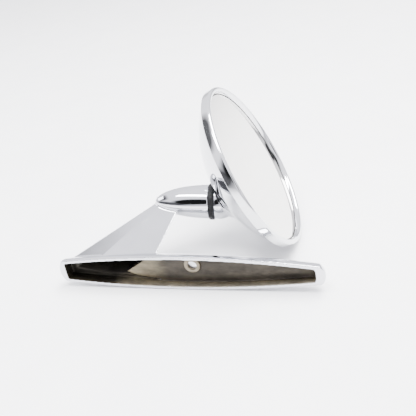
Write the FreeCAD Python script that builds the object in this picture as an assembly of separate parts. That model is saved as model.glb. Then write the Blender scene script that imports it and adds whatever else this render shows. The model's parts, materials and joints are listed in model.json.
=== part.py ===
"""Round-head door mirror: a long hollow cast base with a faceted arm and a round horn, a ball joint
in the horn's end, and a round head of shell, bezel and mirror glass.

Frame: millimetres. The base's open rim lies in the plane Y = 0 and faces -Y, the panel it is fixed
to. +X runs along the base towards the side that the glass faces, +Z is up, +Y is outboard. The
origin is the middle of the base's rim.
"""
import FreeCAD, Part
import math
import os

from FreeCAD import Placement, Rotation, Vector

# ---- base casting: the boat-shaped foot -----------------------------------------------------
BASE_LEFT = -79.0          # shoulders of the rim outline, along X
BASE_RIGHT = 79.5
BASE_NOSE = 2.6            # how far each rounded end bulges past its shoulders
HALF_LEFT = 7.4            # half heights of the rim outline, along Z
HALF_MID = 11.4
HALF_RIGHT = 6.1
MID_X = -8.0
HULL_HEIGHT = 9.0          # from the rim to the top of the foot, along Y
HULL_DRAFT = 3.4           # how much the outline shrinks over that height
HULL_EDGE_R = 1.8
CAST_WALL = 2.0
HOLLOW_NOSE = 0.4          # the hollow's ends are almost square
END_WALL_RIGHT = 3.4
FLOOR_DEPTH = 5.6          # depth of the shallow floor, from the rim
FLOOR_TIP_X = -39.5        # the floor ends in a point where the deep pocket begins
FLOOR_TIP_Z = -3.0
FLOOR_FORK_X = -15.0       # its lower edge runs back to here
POCKET_STEP = 7.0          # depth of the pocket's narrow end, beside the arm
SCREW_X = 4.3
SCREW_Z = 3.6
SCREW_HOLE_R = 2.75
SCREW_BOSS_R = 5.0
SCREW_BOSS_TOP = 3.2       # the boss stops this far inside the rim plane
SINK_FLOOR = 5.8           # height above the rim where the screw head's cone begins
SINK_R = 4.3

# ---- arm and horn ---------------------------------------------------------------------------
FOOT_Y = 5.0
FOOT_LEFT = -78.5
FOOT_CREASE = -52.0
FOOT_RIGHT = -18.0
FOOT_SLANT = 16.0          # how much shorter the foot is on its underside
NECK_R = 10.5
HORN_LENGTH = 34.0         # from the horn's end face to its rounded tip, in the arm
ARM_WALL = 2.6
ARM_CORE_SHARE = 0.45      # how far the arm's hollow is drawn in where the arm meets the horn
# Corners of the arm where it runs into the horn: distance from the horn's end face, then
# towards the panel, then up.
TOP_CREASE = (30.0, 3.3, 0.0)
TOP_RIGHT = (19.3, 8.0, -2.3)
TOP_BACK = (22.0, -4.0, -6.0)

# ---- ball joint -----------------------------------------------------------------------------
PIVOT = Vector(13.6, 46.6, 21.5)
NECK_AXIS = Vector(0.980, 0.170, -0.110)
BALL_R = 10.8
HORN_END = 6.5             # horn's end face, this far behind the ball's centre
GASKET_WIDTH = 3.2
GASKET_R = 11.2
STUD_R = 3.0
STUD_ANCHOR = 16.0         # length of stud held in the horn
STUD_REACH = 21.8          # stud's tip ahead of the ball's centre
CUP_IN_R = 12.68
CUP_OUT_R = 13.8
CUP_HALF_ANGLE = 36.0
CUP_HOLE_R = 5.6
SPRING_SEAT_R = 7.8
DISC_SPRING_IN = 3.3
DISC_SPRING_OUT = 6.4
DISC_SPRING_RISE = 0.5
DISC_SPRING_THICK = 0.6
WASHER_R = 6.6
WASHER_THICK = 0.8
NUT_ACROSS = 10.0
NUT_THICK = 3.2
INSERT_THICK = 1.1
PIN_R = 1.0
PIN_OFFSET = 6.4
PIN_LENGTH = 8.0

# ---- head -----------------------------------------------------------------------------------
HEAD_AZIMUTH = 7.4         # direction that the glass faces, in degrees from +X towards +Y
HEAD_ELEVATION = 24.4
PIVOT_DEPTH = 31.0         # ball's centre behind the bezel's front plane
PIVOT_OFFSET = 11.6        # ball's centre away from the head's axis
PIVOT_CLOCK = 124.4        # direction of that offset, about the head's axis
RIM_R = 53.1
BEZEL_THICK = 0.8
BAND_DEPTH = 5.6
LIP_WIDTH = 3.8
LIP_ROUND = 1.6
GLASS_DEPTH = 3.0
GLASS_R = 49.9
GLASS_THICK = 2.4
SILVER_THICK = 0.12
PAD_THICK = 1.2
PLATE_THICK = 0.8
SHELL_R = 52.1
SHELL_THICK = 1.0
SHELL_SAG = 23.0
MOUTH_DEPTH = 27.6
MOUTH_R = 11.0
BOSS_R = 12.6
BOSS_FLARE_R = 18.0
BOSS_FLARE_DEPTH = 21.5
SOCKET_IN_R = 11.4
SOCKET_OUT_R = 12.6
SOCKET_HOLE_ANGLE = 50.0
SEAT_HOLE_ANGLE = 51.5
SEAT_GAP = 0.05


def head_axis():
    azimuth = math.radians(HEAD_AZIMUTH)
    elevation = math.radians(HEAD_ELEVATION)
    return Vector(math.cos(elevation) * math.cos(azimuth),
                  math.cos(elevation) * math.sin(azimuth),
                  math.sin(elevation))


def frame_at(origin, axis, towards):
    """Placement with its Z along axis and its X as near to the direction towards as it can be."""
    across = axis.cross(towards).normalize()
    return Placement(origin, Rotation(across.cross(axis), across, axis, "ZXY"))


GLASS_AXIS = head_axis()
NECK = Vector(NECK_AXIS).normalize()
TILT_AXIS = NECK.cross(GLASS_AXIS).normalize()
SIDE = Vector(0, 0, 1).cross(GLASS_AXIS).normalize()
CLOCK = Rotation(GLASS_AXIS, PIVOT_CLOCK).multVec(GLASS_AXIS.cross(SIDE))
HEAD_CENTRE = PIVOT + GLASS_AXIS * PIVOT_DEPTH - CLOCK * PIVOT_OFFSET
HEAD_FRAME = frame_at(HEAD_CENTRE, GLASS_AXIS, CLOCK)
MOUTH_FRAME = frame_at(PIVOT, GLASS_AXIS, CLOCK)
NECK_FRAME = frame_at(PIVOT, NECK, GLASS_AXIS)


def revolved(points, frame=Placement()):
    """Solid of revolution about the frame's Z, from (radius, height) points joined by lines."""
    corners = [Vector(radius, 0, height) for radius, height in points]
    outline = Part.makePolygon(corners + corners[:1])
    solid = Part.Face(outline).revolve(Vector(), Vector(0, 0, 1), 360)
    solid.Placement = frame
    return solid


def cylinder(radius, low, high, frame=Placement()):
    solid = Part.makeCylinder(radius, high - low, Vector(0, 0, low))
    solid.Placement = frame
    return solid


def tube(inner, outer, low, high, frame=Placement()):
    return revolved([(inner, low), (outer, low), (outer, high), (inner, high)], frame)


def spherical_zone(inner, outer, low_angle, high_angle, frame=Placement()):
    """Part of a spherical shell about the frame's origin, between two angles from its Z."""
    def at(radius, angle):
        return Vector(radius * math.sin(angle), 0, radius * math.cos(angle))

    low = math.radians(low_angle)
    high = math.radians(high_angle)
    middle = (low + high) / 2
    edges = [
        Part.Arc(at(outer, low), at(outer, middle), at(outer, high)).toShape(),
        Part.makeLine(at(outer, high), at(inner, high)),
        Part.Arc(at(inner, high), at(inner, middle), at(inner, low)).toShape(),
        Part.makeLine(at(inner, low), at(outer, low)),
    ]
    solid = Part.Face(Part.Wire(edges)).revolve(Vector(), Vector(0, 0, 1), 360)
    solid.Placement = frame
    return solid


def arc_edge(start, middle, end):
    return Part.Arc(start, middle, end).toShape()


# ---- base casting ---------------------------------------------------------------------------
def boat_outline(height, inset, right_inset=None, nose=BASE_NOSE):
    """Closed outline of the foot at one height above the rim, drawn in by inset."""
    right_inset = inset if right_inset is None else right_inset

    def at(x, z):
        return Vector(x, height, z)

    left = BASE_LEFT + inset
    right = BASE_RIGHT - right_inset
    half_left = HALF_LEFT - inset
    half_mid = HALF_MID - inset
    half_right = HALF_RIGHT - inset
    return Part.Wire([
        arc_edge(at(left, half_left), at(MID_X, half_mid), at(right, half_right)),
        arc_edge(at(right, half_right), at(right + nose, 0), at(right, -half_right)),
        arc_edge(at(right, -half_right), at(MID_X, -half_mid), at(left, -half_left)),
        arc_edge(at(left, -half_left), at(left - nose, 0), at(left, half_left)),
    ])


def foot_hull():
    middle = HULL_HEIGHT * 0.55
    hull = Part.makeLoft([boat_outline(0, 0),
                          boat_outline(middle, HULL_DRAFT * 0.25),
                          boat_outline(HULL_HEIGHT, HULL_DRAFT)], True)
    top_edges = [edge for edge in hull.Edges if edge.BoundBox.YMin > HULL_HEIGHT - 0.01]
    return hull.makeFillet(HULL_EDGE_R, top_edges)


def horn_point(along, towards_panel, up):
    """Point of the horn: along it from its end face, then sideways from its axis."""
    sideways = Vector(0, 0, 1).cross(NECK).normalize()
    upward = NECK.cross(sideways)
    return PIVOT - NECK * (HORN_END + along) - sideways * towards_panel + upward * up


def arm_pyramid(wall=0.0, share=0.0):
    """Faceted arm between the foot and the horn; wall and share draw its sides in."""
    upper = HALF_MID - 2.2 - wall
    foot = [
        Vector(FOOT_LEFT + wall, FOOT_Y, 4.0 - wall / 2),
        Vector(FOOT_CREASE, FOOT_Y, upper),
        Vector(FOOT_RIGHT - wall, FOOT_Y, upper),
        Vector(FOOT_RIGHT - FOOT_SLANT - wall, FOOT_Y, -upper),
        Vector(FOOT_CREASE - 4, FOOT_Y, -upper),
        Vector(FOOT_LEFT + wall, FOOT_Y, wall / 2 - 4.0),
    ]
    right = horn_point(*TOP_RIGHT)
    to_crease = horn_point(*TOP_CREASE) - right
    to_back = horn_point(*TOP_BACK) - right
    middle = right + (to_crease + to_back) * 0.5
    top = []
    for forward, backward in ((1.25, 0.1), (1, 0), (0, 0), (0, 1), (0.5, 0.8), (1, 0.45)):
        corner = right + to_crease * forward + to_back * backward
        top.append(corner + (middle - corner) * share)
    return Part.makeLoft([Part.makePolygon(foot + foot[:1]), Part.makePolygon(top + top[:1])],
                         True, True)


def horn():
    """Round tapering neck: half of a long ellipsoid, whose flat end carries the ball joint."""
    stretch = FreeCAD.Matrix()
    stretch.scale(1, 1, HORN_LENGTH / NECK_R)
    whole = Part.makeSphere(NECK_R).transformGeometry(stretch)
    front = Part.makeCylinder(2 * NECK_R, 2 * HORN_LENGTH)
    half = whole.cut(front)
    half.Placement = NECK_FRAME.multiply(Placement(Vector(0, 0, -HORN_END), Rotation()))
    return half


def deep_pocket():
    """Hollow of the arm, drawn straight out of the rim, with a shallow narrow end beside it."""
    half = HALF_MID - CAST_WALL - 0.4
    mouth = [
        Vector(FOOT_LEFT, 0, half),
        Vector(FOOT_RIGHT - 3, 0, half),
        Vector(FLOOR_TIP_X, 0, FLOOR_TIP_Z),
        Vector(FLOOR_TIP_X + 6, 0, FLOOR_TIP_Z - 2.6),
        Vector(FLOOR_FORK_X, 0, -half),
        Vector(FOOT_LEFT, 0, -half),
    ]
    opening = Part.Face(Part.makePolygon(mouth + mouth[:1]))
    core = opening.extrude(Vector(0, PIVOT.y, 0)).common(arm_pyramid(ARM_WALL, ARM_CORE_SHARE))
    step = opening.extrude(Vector(0, POCKET_STEP, 0)).common(foot_hull_core())
    return core.fuse(step)


def foot_hull_core():
    """Space inside the foot's walls, as deep as the pocket's narrow end."""
    outline = Part.Face(boat_outline(0, CAST_WALL + 0.3, END_WALL_RIGHT, HOLLOW_NOSE))
    return outline.extrude(Vector(0, POCKET_STEP, 0))


def screw_frame(height):
    """Placement on the screw hole's axis at a height above the rim, with its Z along +Y."""
    return Placement(Vector(SCREW_X, height, SCREW_Z), Rotation(Vector(0, 0, 1), Vector(0, 1, 0)))


def countersink():
    """Cone in the foot's outside for the screw's head."""
    cone = Part.makeCone(SCREW_HOLE_R, SINK_R, HULL_HEIGHT - SINK_FLOOR,
                         Vector(SCREW_X, SINK_FLOOR, SCREW_Z), Vector(0, 1, 0))
    above = cylinder(SINK_R, HULL_HEIGHT, HULL_HEIGHT + 5, screw_frame(0))
    return cone.fuse(above)


def base_casting():
    """Hollow foot, faceted arm and round horn in one casting."""
    solid = foot_hull().fuse([arm_pyramid(), horn()])
    cavity = Part.Face(boat_outline(0, CAST_WALL, END_WALL_RIGHT, HOLLOW_NOSE)).extrude(
        Vector(0, FLOOR_DEPTH, 0))
    solid = solid.cut([cavity, deep_pocket()])
    boss = cylinder(SCREW_BOSS_R, SCREW_BOSS_TOP, FLOOR_DEPTH + 0.5, screw_frame(0))
    solid = solid.fuse(boss)
    solid = solid.cut([cylinder(SCREW_HOLE_R, 0, HULL_HEIGHT, screw_frame(0)), countersink()])
    anchor = cylinder(STUD_R, -HORN_END - STUD_ANCHOR, 0, NECK_FRAME)
    pin_hole = cylinder(PIN_R, -HORN_END - PIN_LENGTH / 2, 0, pin_frame())
    return solid.cut([anchor, pin_hole]).removeSplitter()


# ---- ball joint, fixed to the horn ----------------------------------------------------------
def pin_frame():
    shift = NECK_FRAME.Rotation.multVec(Vector(-PIN_OFFSET, 0, 0))
    return Placement(PIVOT + shift, NECK_FRAME.Rotation)


def pivot_stud():
    return cylinder(STUD_R, -HORN_END - STUD_ANCHOR, STUD_REACH, NECK_FRAME)


def locating_pin():
    """Dowel that stops the ball from turning on the horn."""
    return cylinder(PIN_R, -HORN_END - PIN_LENGTH / 2, -HORN_END + PIN_LENGTH / 2, pin_frame())


def gasket_front():
    return GASKET_WIDTH - HORN_END


def neck_gasket():
    """Rubber washer between horn and ball, a little proud of both and bulged at its edge."""
    rim = GASKET_R - 0.5
    middle = (gasket_front() - HORN_END) / 2
    ring = revolved([(STUD_R, -HORN_END), (rim, -HORN_END), (GASKET_R, -HORN_END + 0.6),
                     (GASKET_R + 0.15, middle), (GASKET_R, gasket_front() - 0.6),
                     (rim, gasket_front()), (STUD_R, gasket_front())], NECK_FRAME)
    return ring.cut(locating_pin())


def pivot_ball():
    """Chromed ball with a flat face against the gasket, bored for the stud and the dowel."""
    def at(angle):
        return Vector(BALL_R * math.sin(angle), 0, BALL_R * math.cos(angle))

    back = math.acos(gasket_front() / BALL_R)
    front = math.asin(STUD_R / BALL_R)
    edges = [
        Part.makeLine(Vector(STUD_R, 0, gasket_front()), at(back)),
        Part.Arc(at(back), at((back + front) / 2), at(front)).toShape(),
        Part.makeLine(at(front), Vector(STUD_R, 0, gasket_front())),
    ]
    ball = Part.Face(Part.Wire(edges)).revolve(Vector(), Vector(0, 0, 1), 360)
    ball.Placement = NECK_FRAME
    return ball.cut(locating_pin())


def friction_cup():
    """Dished washer that rides on the outside of the socket."""
    cup = spherical_zone(CUP_IN_R, CUP_OUT_R, 0.0001, CUP_HALF_ANGLE, NECK_FRAME)
    return cup.cut(cylinder(CUP_HOLE_R, 0, 2 * CUP_OUT_R, NECK_FRAME))


def stack_heights():
    """Heights along the stud of the seat's foot, disc springs, washer, nut and insert."""
    foot = math.sqrt(CUP_OUT_R ** 2 - SPRING_SEAT_R ** 2) + 0.3
    springs = CUP_OUT_R + 0.2
    washer = springs + 2 * (DISC_SPRING_RISE + DISC_SPRING_THICK)
    nut = washer + WASHER_THICK
    insert = nut + NUT_THICK
    return foot, springs, washer, nut, insert


def spring_seat():
    """Washer with a hollow foot that presses on the dished washer."""
    foot, top = stack_heights()[:2]
    blank = cylinder(SPRING_SEAT_R, foot - 1.0, top, NECK_FRAME)
    dish = Part.makeSphere(CUP_OUT_R + 0.05, PIVOT)
    return blank.cut([dish, cylinder(STUD_R + 0.05, 0, STUD_REACH, NECK_FRAME)])


def disc_springs():
    """Two conical disc springs, back to back, that keep the joint tight."""
    low, high = stack_heights()[1:3]
    middle = (low + high) / 2
    thick = DISC_SPRING_THICK
    inner = DISC_SPRING_IN
    outer = DISC_SPRING_OUT
    lower = revolved([(inner, low), (outer, middle - thick), (outer, middle),
                      (inner, low + thick)], NECK_FRAME)
    upper = revolved([(inner, high - thick), (outer, middle), (outer, middle + thick),
                      (inner, high)], NECK_FRAME)
    return Part.makeCompound([lower, upper])


def flat_washer():
    low, high = stack_heights()[2:4]
    return tube(STUD_R + 0.05, WASHER_R, low, high, NECK_FRAME)


def lock_nut():
    low, high = stack_heights()[3:]
    corner_r = NUT_ACROSS / math.sqrt(3)
    corners = [Vector(corner_r * math.cos(math.radians(60 * k)),
                      corner_r * math.sin(math.radians(60 * k)), low) for k in range(6)]
    hexagon = Part.Face(Part.makePolygon(corners + corners[:1])).extrude(
        Vector(0, 0, high - low))
    hexagon.Placement = NECK_FRAME
    collar = tube(STUD_R + 0.6, STUD_R + 1.5, high, high + INSERT_THICK, NECK_FRAME)
    return hexagon.cut(cylinder(STUD_R, 0, STUD_REACH + 5, NECK_FRAME)).fuse(collar)


def nut_insert():
    high = stack_heights()[4]
    return tube(STUD_R, STUD_R + 0.6, high, high + INSERT_THICK, NECK_FRAME)


# ---- joint pieces on the head's side --------------------------------------------------------
def mouth_height(depth):
    """Height of a depth behind the bezel's front, seen from the ball's centre."""
    return PIVOT_DEPTH - depth


def seat_ring():
    """Nylon ring that the ball turns in."""
    high = math.degrees(math.acos(mouth_height(MOUTH_DEPTH - SHELL_THICK) / BALL_R)) - 0.5
    return spherical_zone(BALL_R + SEAT_GAP, SOCKET_IN_R - SEAT_GAP, SEAT_HOLE_ANGLE, high,
                          MOUTH_FRAME)


def mouth_seal():
    """Thin rubber ring that closes the gap between the ball and the shell's mouth."""
    low = mouth_height(MOUTH_DEPTH) - 0.15
    high = mouth_height(MOUTH_DEPTH) + SHELL_THICK - 0.1
    inner_r = BALL_R + SEAT_GAP

    def on_ball(height):
        return Vector(math.sqrt(inner_r ** 2 - height ** 2), 0, height)

    edges = [
        arc_edge(on_ball(low), on_ball((low + high) / 2), on_ball(high)),
        Part.makeLine(on_ball(high), Vector(MOUTH_R, 0, high)),
        Part.makeLine(Vector(MOUTH_R, 0, high), Vector(MOUTH_R, 0, low)),
        Part.makeLine(Vector(MOUTH_R, 0, low), on_ball(low)),
    ]
    ring = Part.Face(Part.Wire(edges)).revolve(Vector(), Vector(0, 0, 1), 360)
    ring.Placement = MOUTH_FRAME
    return ring


def socket_cup():
    """Pressed steel socket that stands on the shell's lip and holds the seat ring."""
    floor = mouth_height(MOUTH_DEPTH) + SHELL_THICK
    skirt = math.degrees(math.acos((floor - 1) / SOCKET_OUT_R))
    dome = spherical_zone(SOCKET_IN_R, SOCKET_OUT_R, SOCKET_HOLE_ANGLE, skirt, MOUTH_FRAME)
    return dome.cut(cylinder(2 * BALL_R, -2, floor, MOUTH_FRAME))


# ---- head -----------------------------------------------------------------------------------
def shell_sphere_r(sag, half_chord):
    return (half_chord ** 2 + sag ** 2) / (2 * sag)


def dome(radius, apex_depth, rim_depth):
    """Solid spherical cap, with its apex behind and its flat side at rim_depth."""
    centre_height = radius - apex_depth
    ball = Part.makeSphere(radius, Vector(0, 0, centre_height))
    front = Part.makeCylinder(radius, 2 * radius, Vector(0, 0, -rim_depth))
    cap = ball.cut(front)
    cap.Placement = HEAD_FRAME
    return cap


def back_shell():
    """Round bowl with an off-centre flared mouth for the ball."""
    outer_r = shell_sphere_r(SHELL_SAG, SHELL_R)
    apex = BAND_DEPTH + SHELL_SAG
    outer = dome(outer_r, apex, BAND_DEPTH)
    inner = dome(outer_r - SHELL_THICK, apex - SHELL_THICK, BAND_DEPTH)
    low = mouth_height(MOUTH_DEPTH)
    flare_low = mouth_height(BOSS_FLARE_DEPTH)
    boss = revolved([(0, low), (BOSS_R, low), (BOSS_FLARE_R, flare_low), (0, flare_low)],
                    MOUTH_FRAME)
    wall = 1.1 * SHELL_THICK
    core = revolved([(0, low + SHELL_THICK), (BOSS_R - wall + 0.6, low + SHELL_THICK),
                     (BOSS_FLARE_R - wall, flare_low + 0.01), (0, flare_low + 0.01)],
                    MOUTH_FRAME)
    beyond = cylinder(BOSS_FLARE_R - wall, flare_low, mouth_height(BAND_DEPTH + 6), MOUTH_FRAME)
    above_mouth = cylinder(BOSS_R + 0.4, -10, low, MOUTH_FRAME)
    solid = outer.fuse(boss).cut([inner, core, above_mouth])
    return solid.cut([beyond.common(inner), cylinder(MOUTH_R, low - 5, low + 5, MOUTH_FRAME)])


def bezel():
    """Pressed ring: a flat side band, a rounded front lip and a step down to the glass."""
    band_in = RIM_R - BEZEL_THICK
    lip_in = RIM_R - LIP_WIDTH

    def at(radius, depth):
        return Vector(radius, 0, -depth)

    round_in = LIP_ROUND - BEZEL_THICK
    slant = math.sqrt(0.5)
    edges = [
        Part.makeLine(at(band_in, BAND_DEPTH), at(RIM_R, BAND_DEPTH)),
        Part.makeLine(at(RIM_R, BAND_DEPTH), at(RIM_R, LIP_ROUND)),
        arc_edge(at(RIM_R, LIP_ROUND),
                 at(RIM_R - LIP_ROUND * (1 - slant), LIP_ROUND * (1 - slant)),
                 at(RIM_R - LIP_ROUND, 0)),
        arc_edge(at(RIM_R - LIP_ROUND, 0), at(lip_in + 0.55, 0.75), at(lip_in, GLASS_DEPTH)),
        Part.makeLine(at(lip_in, GLASS_DEPTH), at(lip_in + BEZEL_THICK, GLASS_DEPTH)),
        arc_edge(at(lip_in + BEZEL_THICK, GLASS_DEPTH), at(lip_in + 1.25, 1.45),
                 at(RIM_R - LIP_ROUND, BEZEL_THICK)),
        arc_edge(at(RIM_R - LIP_ROUND, BEZEL_THICK),
                 at(RIM_R - BEZEL_THICK - round_in * (1 - slant),
                    BEZEL_THICK + round_in * (1 - slant)),
                 at(band_in, LIP_ROUND)),
        Part.makeLine(at(band_in, LIP_ROUND), at(band_in, BAND_DEPTH)),
    ]
    ring = Part.Face(Part.Wire(edges)).revolve(Vector(), Vector(0, 0, 1), 360)
    ring.Placement = HEAD_FRAME
    return ring


def layer_depths():
    """Depths of the fronts of glass, silver, pad and plate, and of the plate's back."""
    silver = GLASS_DEPTH + GLASS_THICK
    pad = silver + SILVER_THICK
    plate = pad + PAD_THICK
    return GLASS_DEPTH, silver, pad, plate, plate + PLATE_THICK


def disc(radius, front, back):
    return cylinder(radius, -back, -front, HEAD_FRAME)


def mirror_glass():
    glass, silver = layer_depths()[:2]
    solid = disc(GLASS_R, glass, silver)
    return solid.makeFillet(0.3, [edge for edge in solid.Edges if edge.Closed])


def silver_layer():
    silver, pad = layer_depths()[1:3]
    return disc(GLASS_R - 0.5, silver, pad)


def glass_gasket():
    """Rubber channel round the glass, between it, the bezel's band and the lip's back."""
    pad = layer_depths()[2]
    outer = RIM_R - BEZEL_THICK - 0.1
    lip = RIM_R - LIP_WIDTH
    ring = tube(GLASS_R, outer - 0.6, -pad, -GLASS_DEPTH, HEAD_FRAME)
    front = tube(lip + BEZEL_THICK + 0.5, outer - 0.6, -GLASS_DEPTH, -GLASS_DEPTH + 0.6, HEAD_FRAME)
    return ring.fuse(front)


def backing_pad():
    pad, plate = layer_depths()[2:4]
    return disc(GLASS_R - 0.6, pad, plate)


def backing_plate():
    """Steel disc that presses pad and glass forward, with an edge bent back for stiffness."""
    plate, back = layer_depths()[3:]
    radius = GLASS_R - 1.6
    sheet = disc(radius, plate, back)
    holes = []
    for k in range(6):
        spin = Placement(Vector(), Rotation(Vector(0, 0, 1), 60 * k))
        place = HEAD_FRAME.multiply(spin).multiply(Placement(Vector(radius * 0.62, 0, 0), Rotation()))
        holes.append(cylinder(5.0, -back - 1, -plate + 1, place))
    return sheet.cut(holes)


SUBPARTS = {
    "base_casting": base_casting,
    "pivot_stud": pivot_stud,
    "locating_pin": locating_pin,
    "neck_gasket": neck_gasket,
    "pivot_ball": pivot_ball,
    "friction_cup": friction_cup,
    "spring_seat": spring_seat,
    "disc_springs": disc_springs,
    "flat_washer": flat_washer,
    "lock_nut": lock_nut,
    "nut_insert": nut_insert,
    "seat_ring": seat_ring,
    "mouth_seal": mouth_seal,
    "socket_cup": socket_cup,
    "back_shell": back_shell,
    "bezel": bezel,
    "glass_gasket": glass_gasket,
    "mirror_glass": mirror_glass,
    "silver_layer": silver_layer,
    "backing_pad": backing_pad,
    "backing_plate": backing_plate,
}

os.makedirs("parts", exist_ok=True)
print("head centre", HEAD_CENTRE, "glass axis", GLASS_AXIS, "neck axis", NECK, "tilt", TILT_AXIS)
for name, make in SUBPARTS.items():
    shape = make()
    print(name, "solids", len(shape.Solids), "valid", shape.isValid(), "volume", round(shape.Volume, 2))
    shape.exportStep("parts/" + name + ".step")
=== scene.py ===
import json
import math

import bmesh
import bpy
from mathutils import Matrix, Vector
from mathutils.bvhtree import BVHTree


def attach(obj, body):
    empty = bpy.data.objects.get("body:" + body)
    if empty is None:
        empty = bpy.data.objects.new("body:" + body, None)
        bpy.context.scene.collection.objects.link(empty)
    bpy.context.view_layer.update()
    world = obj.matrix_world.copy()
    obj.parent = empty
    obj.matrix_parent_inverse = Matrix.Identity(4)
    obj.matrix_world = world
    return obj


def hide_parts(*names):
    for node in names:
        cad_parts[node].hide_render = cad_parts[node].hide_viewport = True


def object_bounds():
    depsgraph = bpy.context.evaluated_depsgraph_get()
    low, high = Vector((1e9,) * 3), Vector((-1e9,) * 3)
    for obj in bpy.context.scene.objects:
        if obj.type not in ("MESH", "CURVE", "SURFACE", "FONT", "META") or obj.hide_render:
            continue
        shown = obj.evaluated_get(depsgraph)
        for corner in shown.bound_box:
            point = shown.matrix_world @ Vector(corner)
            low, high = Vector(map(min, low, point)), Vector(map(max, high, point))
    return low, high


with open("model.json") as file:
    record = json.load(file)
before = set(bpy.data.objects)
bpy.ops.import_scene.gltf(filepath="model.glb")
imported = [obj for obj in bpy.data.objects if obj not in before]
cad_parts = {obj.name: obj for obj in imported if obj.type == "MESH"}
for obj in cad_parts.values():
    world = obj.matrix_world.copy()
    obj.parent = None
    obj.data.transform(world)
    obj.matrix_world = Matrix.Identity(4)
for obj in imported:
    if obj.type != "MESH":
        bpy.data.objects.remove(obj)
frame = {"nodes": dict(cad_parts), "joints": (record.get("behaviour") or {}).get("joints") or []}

cad_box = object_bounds()

MM = 0.001

# ---- the part's own directions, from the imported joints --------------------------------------
JOINTS = {joint["name"]: joint for joint in frame["joints"]}
PIVOT = Vector(JOINTS["head_turn"]["pos_m"])
GLASS = Vector(JOINTS["head_turn"]["axis"]).normalized()
SWING = Vector(JOINTS["head_swing"]["axis"])
NECK = SWING.cross(Vector(JOINTS["head_tilt"]["axis"])).normalized()
UP = Vector((0, 0, 1))

# ---- sizes, in millimetres ------------------------------------------------------------------
PIVOT_DEPTH = 31.0
PIVOT_OFFSET = 11.6
PIVOT_CLOCK = 124.4
RIM_R = 53.1
BAND_DEPTH = 5.6
GLASS_R = 49.9
GLASS_DEPTH = 3.0
GLASS_THICK = 2.4
SHELL_R = 52.1
SHELL_SAG = 23.0
MOUTH_R = 11.0
MOUTH_DEPTH = 27.6
BOSS_R = 12.6
BALL_R = 10.8
STUD_R = 3.0
HORN_END = 6.5
HORN_LENGTH = 34.0
NECK_R = 10.5
GASKET_FRONT = -3.3
GASKET_R = 11.2
TURNS = 256                # segments round a turned piece
SHARP_ANGLE = 32.0         # edges that turn by more than this are drawn crisp


def frame_matrix(origin, axis, towards):
    """Matrix whose Z lies along axis and whose X is as near to towards as it can be."""
    across = axis.cross(towards).normalized()
    ahead = across.cross(axis)
    turned = Matrix((ahead, across, axis)).transposed().to_4x4()
    return Matrix.Translation(origin) @ turned


def head_clock():
    """Direction across the glass from its middle towards the off-centre pivot."""
    side = UP.cross(GLASS).normalized()
    return Matrix.Rotation(math.radians(PIVOT_CLOCK), 3, GLASS) @ GLASS.cross(side)


CLOCK = head_clock()
HEAD = frame_matrix(PIVOT + (GLASS * PIVOT_DEPTH - CLOCK * PIVOT_OFFSET) * MM, GLASS, CLOCK)
HORN = frame_matrix(PIVOT, NECK, GLASS)


# ---- camera ---------------------------------------------------------------------------------
CAMERA_AZIMUTH = 20.3
CAMERA_ELEVATION = 29.0
CAMERA_ROLL = -10.84
CAMERA_DISTANCE = 0.400
CAMERA_SHIFT_RIGHT = 0.0138
CAMERA_SHIFT_UP = 0.0384
CAMERA_LENS = 59.4
CAMERA_NEAR = 0.01
SENSOR = 36.0


def camera_directions():
    azimuth = math.radians(CAMERA_AZIMUTH)
    elevation = math.radians(CAMERA_ELEVATION)
    roll = math.radians(CAMERA_ROLL)
    level = Vector((math.cos(azimuth), math.sin(azimuth), 0))
    back = Vector((math.sin(azimuth) * math.cos(elevation),
                   -math.cos(azimuth) * math.cos(elevation),
                   math.sin(elevation)))
    upright = back.cross(level)
    right = level * math.cos(roll) + upright * math.sin(roll)
    return right, back.cross(right), back


def add_camera():
    right, up, back = camera_directions()
    place = right * CAMERA_SHIFT_RIGHT + up * CAMERA_SHIFT_UP + back * CAMERA_DISTANCE
    data = bpy.data.cameras.new("camera")
    data.sensor_width = SENSOR
    data.lens = CAMERA_LENS
    data.clip_start = CAMERA_NEAR
    camera = bpy.data.objects.new("camera", data)
    turned = Matrix((right, up, back)).transposed().to_4x4()
    camera.matrix_world = Matrix.Translation(place) @ turned
    bpy.context.scene.collection.objects.link(camera)
    bpy.context.scene.camera = camera


# ---- materials ------------------------------------------------------------------------------
def new_material(name):
    material = bpy.data.materials.new(name)
    material.use_nodes = True
    shader = material.node_tree.nodes["Principled BSDF"]
    return material, material.node_tree, shader


def add_noise(tree, scale, detail=3.0, roughness=0.5, stretch=None):
    """Noise in the part's own coordinates, in metres, so scale is in cycles per metre."""
    place = tree.nodes.new("ShaderNodeTexCoord")
    noise = tree.nodes.new("ShaderNodeTexNoise")
    noise.inputs["Scale"].default_value = scale
    noise.inputs["Detail"].default_value = detail
    noise.inputs["Roughness"].default_value = roughness
    source = place.outputs["Object"]
    if stretch:
        mapping = tree.nodes.new("ShaderNodeMapping")
        mapping.inputs["Scale"].default_value = stretch
        tree.links.new(source, mapping.inputs["Vector"])
        source = mapping.outputs["Vector"]
    tree.links.new(source, noise.inputs["Vector"])
    return noise.outputs["Fac"]


def add_range(tree, value, low, high, start=0.3, end=0.7):
    span = tree.nodes.new("ShaderNodeMapRange")
    span.inputs["From Min"].default_value = start
    span.inputs["From Max"].default_value = end
    span.inputs["To Min"].default_value = low
    span.inputs["To Max"].default_value = high
    tree.links.new(value, span.inputs["Value"])
    return span.outputs["Result"]


def add_colours(tree, value, stops):
    ramp = tree.nodes.new("ShaderNodeValToRGB")
    while len(ramp.color_ramp.elements) < len(stops):
        ramp.color_ramp.elements.new(0.5)
    for element, (position, colour) in zip(ramp.color_ramp.elements, stops):
        element.position = position
        element.color = (*colour, 1)
    tree.links.new(value, ramp.inputs["Fac"])
    return ramp.outputs["Color"]


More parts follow.
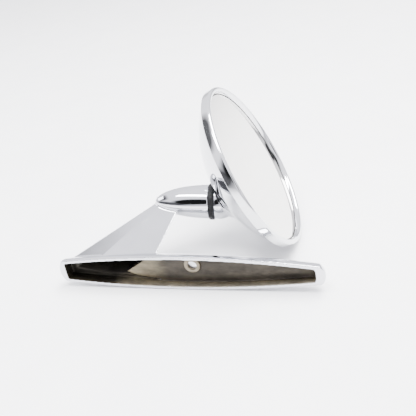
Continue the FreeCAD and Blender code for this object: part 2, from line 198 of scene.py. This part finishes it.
def add_bump(tree, value, distance, strength=1.0, normal=None):
    bump = tree.nodes.new("ShaderNodeBump")
    bump.inputs["Distance"].default_value = distance
    bump.inputs["Strength"].default_value = strength
    tree.links.new(value, bump.inputs["Height"])
    if normal:
        tree.links.new(normal, bump.inputs["Normal"])
    return bump.outputs["Normal"]


def chrome(name, tone, low_rough, high_rough, wave, wave_height):
    """Polished plating: faint haze in patches, a slow polishing wave and very fine pitting."""
    material, tree, shader = new_material(name)
    shader.inputs["Metallic"].default_value = 1.0
    haze = add_noise(tree, 55.0, 4.0)
    darker = tuple(channel * 0.93 for channel in tone)
    tree.links.new(add_colours(tree, haze, [(0.35, darker), (0.65, tone)]),
                   shader.inputs["Base Color"])
    patches = add_noise(tree, 140.0, 5.0, 0.6)
    tree.links.new(add_range(tree, patches, low_rough, high_rough), shader.inputs["Roughness"])
    slow = add_bump(tree, add_noise(tree, wave, 1.0), wave_height)
    fine = add_bump(tree, add_noise(tree, 2600.0, 2.0), 0.000004, 0.35, slow)
    tree.links.new(fine, shader.inputs["Normal"])
    return material


def place_along(tree, axis, low, high):
    """0 to 1 as the part's own coordinate along axis goes from low to high, in metres."""
    place = tree.nodes.new("ShaderNodeTexCoord")
    parts = tree.nodes.new("ShaderNodeSeparateXYZ")
    tree.links.new(place.outputs["Object"], parts.inputs["Vector"])
    return add_range(tree, parts.outputs[axis], 0.0, 1.0, low, high)


def mix_colours(tree, blend, factor, first, second):
    mix = tree.nodes.new("ShaderNodeMix")
    mix.data_type = "RGBA"
    mix.blend_type = blend
    if isinstance(factor, float):
        mix.inputs["Factor"].default_value = factor
    else:
        tree.links.new(factor, mix.inputs["Factor"])
    tree.links.new(first, mix.inputs["A"])
    tree.links.new(second, mix.inputs["B"])
    return mix.outputs["Result"]


def raw_casting():
    """Unplated inside of the casting: golden grey walls, dark brown floor and a paler tongue, with
    painted shade that darkens them with depth until the deep pocket is black, and darker towards
    the left end.
    """
    material, tree, shader = new_material("raw_casting")
    depth = place_along(tree, "Y", 0.0, 0.010)
    # Darker the deeper it lies in the hollow: the step from golden walls to dark brown floor is
    # partly the raw metal's tone and partly painted shade; the fall to near black in the deep
    # pocket is painted shade.
    metal_with_depth_shade = add_colours(tree, depth, [(0.0, (0.42, 0.39, 0.33)), (0.42, (0.31, 0.26, 0.18)),
                                      (0.53, (0.060, 0.051, 0.040)), (0.60, (0.050, 0.042, 0.032)),
                                      (0.74, (0.008, 0.007, 0.005))])
    # The tongue's tone also falls to near black with depth: painted shade.
    tongue_with_depth_shade = add_colours(tree, depth, [(0.0, (0.36, 0.32, 0.25)), (0.60, (0.29, 0.25, 0.17)),
                                       (0.74, (0.012, 0.010, 0.008))])
    towards_tip = place_along(tree, "X", -0.012, -0.036)
    bright = mix_colours(tree, "MIX", towards_tip, metal_with_depth_shade, tongue_with_depth_shade)
    # Darker towards the left end of the hollow. Its further darkening with depth is painted shade.
    dark_left_end = add_colours(tree, depth, [(0.0, (0.060, 0.050, 0.034)), (0.6, (0.020, 0.017, 0.011))])
    towards_left = place_along(tree, "X", -0.038, -0.048)
    surface = mix_colours(tree, "MIX", towards_left, bright, dark_left_end)
    stain = add_noise(tree, 120.0, 6.0, 0.62, (0.6, 1.0, 1.6))
    stained = add_colours(tree, stain, [(0.30, (0.28, 0.26, 0.24)), (0.50, (0.52, 0.51, 0.49)),
                                        (0.72, (0.82, 0.80, 0.74))])
    tree.links.new(mix_colours(tree, "MULTIPLY", 1.0, surface, stained),
                   shader.inputs["Base Color"])
    shader.inputs["Metallic"].default_value = 0.7
    tree.links.new(add_range(tree, add_noise(tree, 420.0, 4.0), 0.28, 0.52),
                   shader.inputs["Roughness"])
    coarse = add_bump(tree, add_noise(tree, 330.0, 5.0, 0.6), 0.00035, 0.5)
    grain = add_bump(tree, add_noise(tree, 1900.0, 3.0), 0.00008, 0.8, coarse)
    tree.links.new(grain, shader.inputs["Normal"])
    return material


def rubber(name, tone):
    """Matt black rubber or foam with paler dust and a fine grain."""
    material, tree, shader = new_material(name)
    lighter = tuple(channel * 2.1 + 0.002 for channel in tone)
    dust = add_noise(tree, 260.0, 6.0, 0.65)
    tree.links.new(add_colours(tree, dust, [(0.38, tone), (0.72, lighter)]),
                   shader.inputs["Base Color"])
    tree.links.new(add_range(tree, add_noise(tree, 500.0), 0.42, 0.68), shader.inputs["Roughness"])
    shader.inputs["Specular IOR Level"].default_value = 0.25
    grain = add_bump(tree, add_noise(tree, 2400.0, 3.0), 0.00005, 0.7)
    tree.links.new(grain, shader.inputs["Normal"])
    return material


def mirror_face():
    """Silvered glass: almost perfectly smooth, slightly warm, with a very faint haze."""
    material, tree, shader = new_material("mirror_face")
    shader.inputs["Metallic"].default_value = 1.0
    cloud = add_noise(tree, 22.0, 3.0)
    tree.links.new(add_colours(tree, cloud, [(0.3, (0.72, 0.705, 0.67)),
                                             (0.7, (0.76, 0.745, 0.71))]),
                   shader.inputs["Base Color"])
    tree.links.new(add_range(tree, add_noise(tree, 60.0, 5.0), 0.012, 0.05),
                   shader.inputs["Roughness"])
    tree.links.new(add_bump(tree, add_noise(tree, 30.0, 1.0), 0.00001), shader.inputs["Normal"])
    return material


def steel(name, tone, rough):
    """Plated pressed steel with fine scratches and darker handling marks."""
    material, tree, shader = new_material(name)
    shader.inputs["Metallic"].default_value = 1.0
    marks = add_noise(tree, 180.0, 5.0, 0.6)
    darker = tuple(channel * 0.62 for channel in tone)
    tree.links.new(add_colours(tree, marks, [(0.32, darker), (0.62, tone)]),
                   shader.inputs["Base Color"])
    tree.links.new(add_range(tree, add_noise(tree, 700.0, 4.0), rough * 0.8, rough * 1.3),
                   shader.inputs["Roughness"])
    scratch = add_noise(tree, 900.0, 3.0, 0.6, (1.0, 1.0, 0.12))
    tree.links.new(add_bump(tree, scratch, 0.00003, 0.7), shader.inputs["Normal"])
    return material


def nylon(name, tone):
    """Moulded nylon: slightly translucent, with a faint grain."""
    material, tree, shader = new_material(name)
    lighter = tuple(min(1.0, channel * 1.25) for channel in tone)
    tree.links.new(add_colours(tree, add_noise(tree, 300.0, 4.0), [(0.35, tone), (0.7, lighter)]),
                   shader.inputs["Base Color"])
    tree.links.new(add_range(tree, add_noise(tree, 650.0), 0.32, 0.48), shader.inputs["Roughness"])
    shader.inputs["Subsurface Weight"].default_value = 0.08
    shader.inputs["Subsurface Radius"].default_value = (0.002, 0.002, 0.002)
    tree.links.new(add_bump(tree, add_noise(tree, 1500.0), 0.00003, 0.6), shader.inputs["Normal"])
    return material


BRIGHT = chrome("bright_chrome", (0.66, 0.665, 0.69), 0.015, 0.06, 38.0, 0.00006)
CAST_CHROME = chrome("cast_chrome", (0.60, 0.605, 0.635), 0.03, 0.09, 60.0, 0.00010)
BEZEL_CHROME = chrome("bezel_chrome", (0.67, 0.675, 0.69), 0.03, 0.10, 90.0, 0.00008)
RAW = raw_casting()
RUBBER = rubber("black_rubber", (0.003, 0.003, 0.0035))
FOAM = rubber("foam", (0.06, 0.06, 0.062))
MIRROR = mirror_face()
PLATED = steel("plated_steel", (0.66, 0.65, 0.60), 0.28)
TURNED = steel("turned_steel", (0.56, 0.56, 0.57), 0.22)
SPRING = steel("spring_steel", (0.34, 0.34, 0.36), 0.30)
BLUE_NYLON = nylon("nut_nylon", (0.10, 0.20, 0.46))
PALE_NYLON = nylon("seat_nylon", (0.66, 0.65, 0.58))


# ---- mesh making ----------------------------------------------------------------------------
def add_piece(name, mesh, materials, body, nodes):
    """Put a mesh in the scene on its body; nodes are the CAD nodes it stands for, if any."""
    piece = bpy.data.objects.new(name, mesh)
    bpy.context.scene.collection.objects.link(piece)
    for material in materials:
        mesh.materials.append(material)
    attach(piece, body)
    if nodes:
        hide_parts(*nodes)
    return piece


def grid_mesh(name, rings, closed_profile):
    """Mesh of closed rings of points; the last ring joins the first if closed_profile."""
    mesh = bpy.data.meshes.new(name)
    points = [point for ring in rings for point in ring]
    count = len(rings[0])
    last = len(rings) if closed_profile else len(rings) - 1
    faces = []
    for row in range(last):
        here = row * count
        there = (row + 1) % len(rings) * count
        for k in range(count):
            following = (k + 1) % count
            faces.append((here + k, here + following, there + following, there + k))
    mesh.from_pydata(points, [], faces)
    work = bmesh.new()
    work.from_mesh(mesh)
    bmesh.ops.recalc_face_normals(work, faces=work.faces)
    work.to_mesh(mesh)
    work.free()
    mesh.shade_smooth()
    mesh.set_sharp_from_angle(angle=math.radians(SHARP_ANGLE))
    return mesh


def turned_mesh(name, place, profile):
    """Closed solid of revolution about the matrix's Z from (radius, height) in millimetres."""
    rings = []
    for radius, height in profile:
        ring = []
        for k in range(TURNS):
            angle = 2 * math.pi * k / TURNS
            point = Vector((radius * math.cos(angle), radius * math.sin(angle), height))
            ring.append(place @ (point * MM))
        rings.append(ring)
    return grid_mesh(name, rings, True)


def arc_points(centre, radius, start, end, steps):
    """Points on an arc in the profile's plane; angles in degrees from the height's direction."""
    points = []
    for k in range(steps + 1):
        angle = math.radians(start + (end - start) * k / steps)
        points.append((centre[0] + radius * math.sin(angle), centre[1] + radius * math.cos(angle)))
    return points


# ---- head -----------------------------------------------------------------------------------
SHELL_THICK = 1.0
BEZEL_THICK = 0.8
LIP_WIDTH = 3.8
LIP_ROUND = 1.6
LIP_IN = RIM_R - LIP_WIDTH
FLARE_SLOPE = 1.13         # how steeply the mouth stands out of the bowl
FLARE_SOFTNESS = 0.9       # how rounded the corner between them is
FLARE_START = (BOSS_R - 0.4, BOSS_R + 1.0)
MOUTH_EDGE = (MOUTH_R, MOUTH_R + 0.5)
MOUTH_ROUND = 0.35
FAR_RINGS = 36
# Distances from the mouth's edge to the nearest rings, closest together where the flare turns.
NEAR_RINGS = (0, 0.08, 0.2, 0.35, 0.5, 0.9, 1.3, 1.7, 2.0, 2.3, 2.6, 2.9, 3.3, 3.8, 4.4, 5.1, 6,
              7, 8.2, 9.6)


def smooth_step(low, high, value):
    share = min(1.0, max(0.0, (value - low) / (high - low)))
    return share * share * (3 - 2 * share)


def shell_depth(from_axis, from_mouth):
    """Depth of the shell's outside: a spherical bowl that flares into the mouth's boss."""
    sphere_r = (SHELL_R ** 2 + SHELL_SAG ** 2) / (2 * SHELL_SAG)
    bowl = BAND_DEPTH + SHELL_SAG - sphere_r + math.sqrt(sphere_r ** 2 - from_axis ** 2)
    boss = MOUTH_DEPTH - FLARE_SLOPE * max(0.0, from_mouth - BOSS_R)
    both = (math.exp((bowl - MOUTH_DEPTH) / FLARE_SOFTNESS)
            + math.exp((boss - MOUTH_DEPTH) / FLARE_SOFTNESS))
    joined = FLARE_SOFTNESS * math.log(both) + MOUTH_DEPTH
    lip = smooth_step(*FLARE_START, from_mouth)
    round_off = MOUTH_ROUND * (1 - smooth_step(*MOUTH_EDGE, from_mouth))
    return MOUTH_DEPTH * (1 - lip) + joined * lip - round_off


def back_shell():
    near = [MOUTH_R + step for step in NEAR_RINGS]
    start = near[-1]
    rings = [[] for _ in range(len(near) + FAR_RINGS)]
    for k in range(TURNS):
        angle = 2 * math.pi * k / TURNS
        x_way = math.cos(angle)
        y_way = math.sin(angle)
        along = PIVOT_OFFSET * x_way
        reach = math.sqrt(along ** 2 + SHELL_R ** 2 - PIVOT_OFFSET ** 2) - along
        distances = near + [start + (reach - start) * (j + 1) / FAR_RINGS
                            for j in range(FAR_RINGS)]
        for ring, distance in zip(rings, distances):
            x = PIVOT_OFFSET + distance * x_way
            y = distance * y_way
            from_axis = min(SHELL_R, math.hypot(x, y))
            ring.append(HEAD @ (Vector((x, y, -shell_depth(from_axis, distance))) * MM))
    mesh = grid_mesh("shell_skin", rings, False)
    piece = add_piece("shell_skin", mesh, [BRIGHT], "head", ["back_shell"])
    outward = sum(polygon.normal.dot(GLASS) for polygon in mesh.polygons) < 0
    wall = piece.modifiers.new("wall", "SOLIDIFY")
    wall.thickness = SHELL_THICK * MM
    wall.offset = -1.0 if outward else 1.0
    wall.use_even_offset = True


def bezel():
    """Pressed ring: side band, rounded lip and a step down to the glass."""
    shoulder = RIM_R - LIP_ROUND
    profile = [(RIM_R - BEZEL_THICK, -BAND_DEPTH), (RIM_R - 0.15, -BAND_DEPTH),
               (RIM_R, -BAND_DEPTH + 0.15), (RIM_R + 0.05, -3.6)]
    profile += arc_points((shoulder, -LIP_ROUND), LIP_ROUND, 90, 0, 10)
    profile += [(shoulder - 0.5, -0.06), (shoulder - 0.95, -0.26), (shoulder - 1.35, -0.62),
                (shoulder - 1.65, -1.15), (shoulder - 1.9, -1.9), (LIP_IN + 0.08, -2.6),
                (LIP_IN, -GLASS_DEPTH + 0.02)]
    profile += [(LIP_IN + BEZEL_THICK, -GLASS_DEPTH + 0.02), (LIP_IN + 1.3, -1.5),
                (shoulder, -BEZEL_THICK), (RIM_R - BEZEL_THICK, -LIP_ROUND)]
    mesh = turned_mesh("bezel_ring", HEAD, profile)
    add_piece("bezel_ring", mesh, [BEZEL_CHROME], "head", ["bezel"])


def glass():
    back = -GLASS_DEPTH - GLASS_THICK
    front = -GLASS_DEPTH
    profile = [(0.02, back), (GLASS_R - 0.3, back), (GLASS_R, back + 0.3), (GLASS_R, front - 0.35),
               (GLASS_R - 0.12, front - 0.12), (GLASS_R - 0.35, front), (GLASS_R - 0.5, front),
               (0.02, front)]
    mesh = turned_mesh("mirror_disc", HEAD, profile)
    add_piece("mirror_disc", mesh, [MIRROR], "head", ["mirror_glass"])


def glass_bead():
    """Lip of the rubber channel, which shows as a dark line between glass and bezel."""
    front = -GLASS_DEPTH
    profile = [(LIP_IN - 0.45, front - 0.02), (LIP_IN - 0.42, front + 0.16),
               (LIP_IN - 0.1, front + 0.30), (LIP_IN + 0.25, front + 0.24),
               (LIP_IN + 0.5, front - 0.02)]
    mesh = turned_mesh("glass_bead", HEAD, profile)
    add_piece("glass_bead", mesh, [RUBBER], "head", [])


# ---- ball joint -----------------------------------------------------------------------------
BALL_CROWN = 17.0          # degrees from the neck's axis to the flat round the stud
BALL_STEPS = 48
GASKET_STEPS = 14
GASKET_BULGE = 0.75
GASKET_EDGE = GASKET_R - 0.6


def ball():
    start = math.degrees(math.acos(GASKET_FRONT / BALL_R))
    profile = [(STUD_R, GASKET_FRONT)]
    profile += arc_points((0, 0), BALL_R, start, BALL_CROWN, BALL_STEPS)
    profile += [(STUD_R, BALL_R * math.cos(math.radians(BALL_CROWN)))]
    mesh = turned_mesh("ball_skin", HORN, profile)
    add_piece("ball_skin", mesh, [BRIGHT], "mount", ["pivot_ball"])


def gasket():
    """Rubber ring squeezed between horn and ball, with a soft bulge at its edge."""
    half = (GASKET_FRONT + HORN_END) / 2
    middle = GASKET_FRONT - half
    profile = [(STUD_R, GASKET_FRONT)]
    for k in range(GASKET_STEPS + 1):
        angle = math.pi / 2 - math.pi * k / GASKET_STEPS
        bulge = GASKET_BULGE * abs(math.cos(angle)) ** 0.5
        profile.append((GASKET_EDGE + bulge, middle + half * math.sin(angle)))
    profile.append((STUD_R, -HORN_END))
    mesh = turned_mesh("gasket_ring", HORN, profile)
    add_piece("gasket_ring", mesh, [RUBBER], "mount", ["neck_gasket"])


# ---- base casting ---------------------------------------------------------------------------
BASE_LEFT = -79.0
BASE_RIGHT = 79.5
HALF_LEFT = 7.4
HALF_MID = 11.4
HALF_RIGHT = 6.1
MID_X = -8.0
CAST_WALL = 2.0
RAW_MARGIN = 0.35
END_WALL_RIGHT = 3.4
RAW_LEFT = BASE_LEFT + CAST_WALL - 2
RAW_RIGHT = BASE_RIGHT - END_WALL_RIGHT + 1.6
RIM_FACING = -0.7          # a face whose normal's Y is below this looks out of the hollow
RIM_LAND = 0.0008          # and is part of the rim when it is nearer than this, in metres
RAY_LIFT = 0.0006
HORN_SIDES = 160
HORN_RINGS = 90
VOXEL = 0.36
RELAX = 0.5
RELAX_STEPS = 12


def half_width(x):
    """Half height of the rim outline at x, from the circle through its three points."""
    ends = [(BASE_LEFT, HALF_LEFT), (MID_X, HALF_MID), (BASE_RIGHT, HALF_RIGHT)]
    (x1, y1), (x2, y2), (x3, y3) = ends
    twice = 2 * (x1 * (y2 - y3) + x2 * (y3 - y1) + x3 * (y1 - y2))
    s1 = x1 * x1 + y1 * y1
    s2 = x2 * x2 + y2 * y2
    s3 = x3 * x3 + y3 * y3
    centre_x = (s1 * (y2 - y3) + s2 * (y3 - y1) + s3 * (y1 - y2)) / twice
    centre_y = (s1 * (x3 - x2) + s2 * (x1 - x3) + s3 * (x2 - x1)) / twice
    radius = math.hypot(x1 - centre_x, y1 - centre_y)
    return centre_y + math.sqrt(max(0.0, radius ** 2 - (x - centre_x) ** 2))


def horn_core():
    """Smooth solid inside the horn's outline, which takes the facets out of its surface."""
    rings = []
    for k in range(HORN_RINGS):
        share = math.sin(math.pi / 2 * k / HORN_RINGS)
        radius = NECK_R * math.sqrt(1 - share * share)
        ring = []
        for j in range(HORN_SIDES):
            angle = 2 * math.pi * j / HORN_SIDES
            ring.append(HORN @ (Vector((radius * math.cos(angle), radius * math.sin(angle),
                                        -HORN_END - HORN_LENGTH * share)) * MM))
        rings.append(ring)
    mesh = bpy.data.meshes.new("horn_core")
    points = [point for ring in rings for point in ring]
    last = (HORN_RINGS - 1) * HORN_SIDES
    faces = [tuple(range(HORN_SIDES)), tuple(last + j for j in reversed(range(HORN_SIDES)))]
    for row in range(HORN_RINGS - 1):
        here = row * HORN_SIDES
        there = here + HORN_SIDES
        for j in range(HORN_SIDES):
            step = (j + 1) % HORN_SIDES
            faces.append((here + j, there + j, there + step, here + step))
    mesh.from_pydata(points, [], faces)
    return mesh


def open_to_rim(tree, point, normal):
    """Whether a straight way along -Y leads from the point out of the hollow."""
    return tree.ray_cast(point + normal * RAY_LIFT, Vector((0, -1, 0)))[0] is None


def is_raw(tree, polygon):
    """Whether a face of the casting belongs to its unplated hollow."""
    x, _, z = (coordinate / MM for coordinate in polygon.center)
    if not RAW_LEFT < x < RAW_RIGHT or abs(z) > half_width(x) - (CAST_WALL - RAW_MARGIN):
        return False
    if polygon.normal.y < RIM_FACING and polygon.center.y < RIM_LAND:
        return False
    return open_to_rim(tree, polygon.center, polygon.normal)


def casting():
    """The CAD's casting made one smooth skin with the horn's core, plated outside, raw inside."""
    work = bmesh.new()
    work.from_mesh(frame["nodes"]["base_casting"].data)
    work.from_mesh(horn_core())
    mesh = bpy.data.meshes.new("cast_body")
    work.to_mesh(mesh)
    work.free()
    piece = add_piece("cast_body", mesh, [CAST_CHROME, RAW], "mount",
                      ["base_casting"])
    remesh = piece.modifiers.new("remesh", "REMESH")
    remesh.mode = "VOXEL"
    remesh.voxel_size = VOXEL * MM
    remesh.use_smooth_shade = True
    relax = piece.modifiers.new("relax", "SMOOTH")
    relax.factor = RELAX
    relax.iterations = RELAX_STEPS
    bpy.context.view_layer.update()
    shaped = bpy.data.meshes.new_from_object(
        piece.evaluated_get(bpy.context.evaluated_depsgraph_get()))
    piece.modifiers.clear()
    piece.data = shaped
    tree = BVHTree.FromPolygons([vertex.co for vertex in shaped.vertices],
                                [tuple(polygon.vertices) for polygon in shaped.polygons])
    for polygon in shaped.polygons:
        polygon.material_index = 1 if is_raw(tree, polygon) else 0
    shaped.shade_smooth()


# ---- everything else keeps the CAD's shape ---------------------------------------------------
KEPT_NODES = {
    "pivot_stud": TURNED, "locating_pin": TURNED, "friction_cup": PLATED, "spring_seat": PLATED,
    "disc_springs": SPRING, "flat_washer": PLATED, "lock_nut": PLATED, "nut_insert": BLUE_NYLON,
    "seat_ring": PALE_NYLON, "mouth_seal": RUBBER, "socket_cup": PLATED, "glass_gasket": RUBBER,
    "silver_layer": MIRROR, "backing_pad": FOAM, "backing_plate": PLATED,
}


def dress_kept_nodes():
    for name, material in KEPT_NODES.items():
        node = frame["nodes"][name]
        for place in node.material_slots:
            place.material = material


# ---- floor and light ------------------------------------------------------------------------
FLOOR_SIZE = 20.0
FLOOR_GAP = 0.0002


def add_floor():
    size = FLOOR_SIZE
    level = cad_box[0][2] - FLOOR_GAP
    mesh = bpy.data.meshes.new("floor")
    mesh.from_pydata([(-size, -size, level), (size, -size, level), (size, size, level),
                      (-size, size, level)], [], [(0, 1, 2, 3)])
    floor = bpy.data.objects.new("floor", mesh)
    bpy.context.scene.collection.objects.link(floor)
    material, tree, shader = new_material("floor_paper")
    paper = add_noise(tree, 30.0, 4.0)
    tree.links.new(add_colours(tree, paper, [(0.3, (0.89, 0.89, 0.895)),
                                             (0.7, (0.92, 0.92, 0.925))]),
                   shader.inputs["Base Color"])
    shader.inputs["Roughness"].default_value = 0.8
    mesh.materials.append(material)


# Soft lights: name, place, point aimed at, size, power and colour.
LIGHTS = [
    ("key", (0.32, 0.22, 1.0), (0, 0.03, 0.02), (0.8, 0.55), 48.0, (1, 1, 1)),
    ("strip", (-0.10, -0.22, 0.85), (0, 0.03, 0.03), (0.55, 0.16), 10.0, (0.97, 0.98, 1.0)),
    ("fill", (-0.85, 0.05, 0.55), (0, 0.03, 0.03), (0.5, 0.4), 6.5, (0.95, 0.96, 1.0)),
]


def add_area(name, place, aim, size, power, colour):
    data = bpy.data.lights.new(name, "AREA")
    data.shape = "RECTANGLE"
    data.size, data.size_y = size
    data.energy = power
    data.color = colour
    light = bpy.data.objects.new(name, data)
    light.location = place
    light.rotation_euler = (Vector(aim) - Vector(place)).to_track_quat("-Z", "Y").to_euler()
    bpy.context.scene.collection.objects.link(light)


ROOM_STRENGTH = 3.1
PATCH_EDGE = (0.72, 1.05)  # where a dark patch starts to fade and where it ends
# Darker parts of the room: direction of the middle, half widths, and what is left of the light.
DARK_PATCHES = [
    ((-0.08, -0.88, 0.44), (0.42, 0.62, 0.33), 0.008),
    ((-0.62, -0.66, 0.16), (0.62, 0.66, 0.26), 0.10),
    ((-0.76, -0.08, 0.58), (0.42, 0.52, 0.26), 0.08),
    ((0.68, -0.52, 0.42), (0.26, 0.38, 0.24), 0.04),
]


def add_dark_patch(tree, direction, centre, spread, darkest):
    """Factor that falls to darkest within an oval patch of directions round centre."""
    offset = tree.nodes.new("ShaderNodeVectorMath")
    offset.operation = "SUBTRACT"
    offset.inputs[1].default_value = centre
    tree.links.new(direction, offset.inputs[0])
    scaled = tree.nodes.new("ShaderNodeVectorMath")
    scaled.operation = "DIVIDE"
    scaled.inputs[1].default_value = spread
    tree.links.new(offset.outputs["Vector"], scaled.inputs[0])
    reach = tree.nodes.new("ShaderNodeVectorMath")
    reach.operation = "LENGTH"
    tree.links.new(scaled.outputs["Vector"], reach.inputs[0])
    return add_range(tree, reach.outputs["Value"], darkest, 1.0, *PATCH_EDGE)


def add_world():
    """Pale room: bright ceiling, greyer towards the horizon, darker where nothing is lit."""
    world = bpy.data.worlds.new("room")
    world.use_nodes = True
    bpy.context.scene.world = world
    tree = world.node_tree
    back = tree.nodes["Background"]
    place = tree.nodes.new("ShaderNodeTexCoord")
    parts = tree.nodes.new("ShaderNodeSeparateXYZ")
    tree.links.new(place.outputs["Generated"], parts.inputs["Vector"])
    room = add_colours(tree, add_range(tree, parts.outputs["Z"], 0, 1, -0.05, 1.0),
                       [(0.0, (0.46, 0.46, 0.48)), (0.12, (0.48, 0.48, 0.51)),
                        (0.28, (0.82, 0.82, 0.87)), (1.0, (0.95, 0.95, 1.0))])
    dim = room
    for centre, spread, left in DARK_PATCHES:
        patch = add_dark_patch(tree, place.outputs["Generated"], centre, spread, left)
        dim = mix_colours(tree, "MULTIPLY", 1.0, dim, patch)
    tree.links.new(dim, back.inputs["Color"])
    back.inputs["Strength"].default_value = ROOM_STRENGTH


add_camera()
back_shell()
bezel()
glass()
glass_bead()
ball()
gasket()
casting()
dress_kept_nodes()
add_floor()
add_world()
for light in LIGHTS:
    add_area(*light)
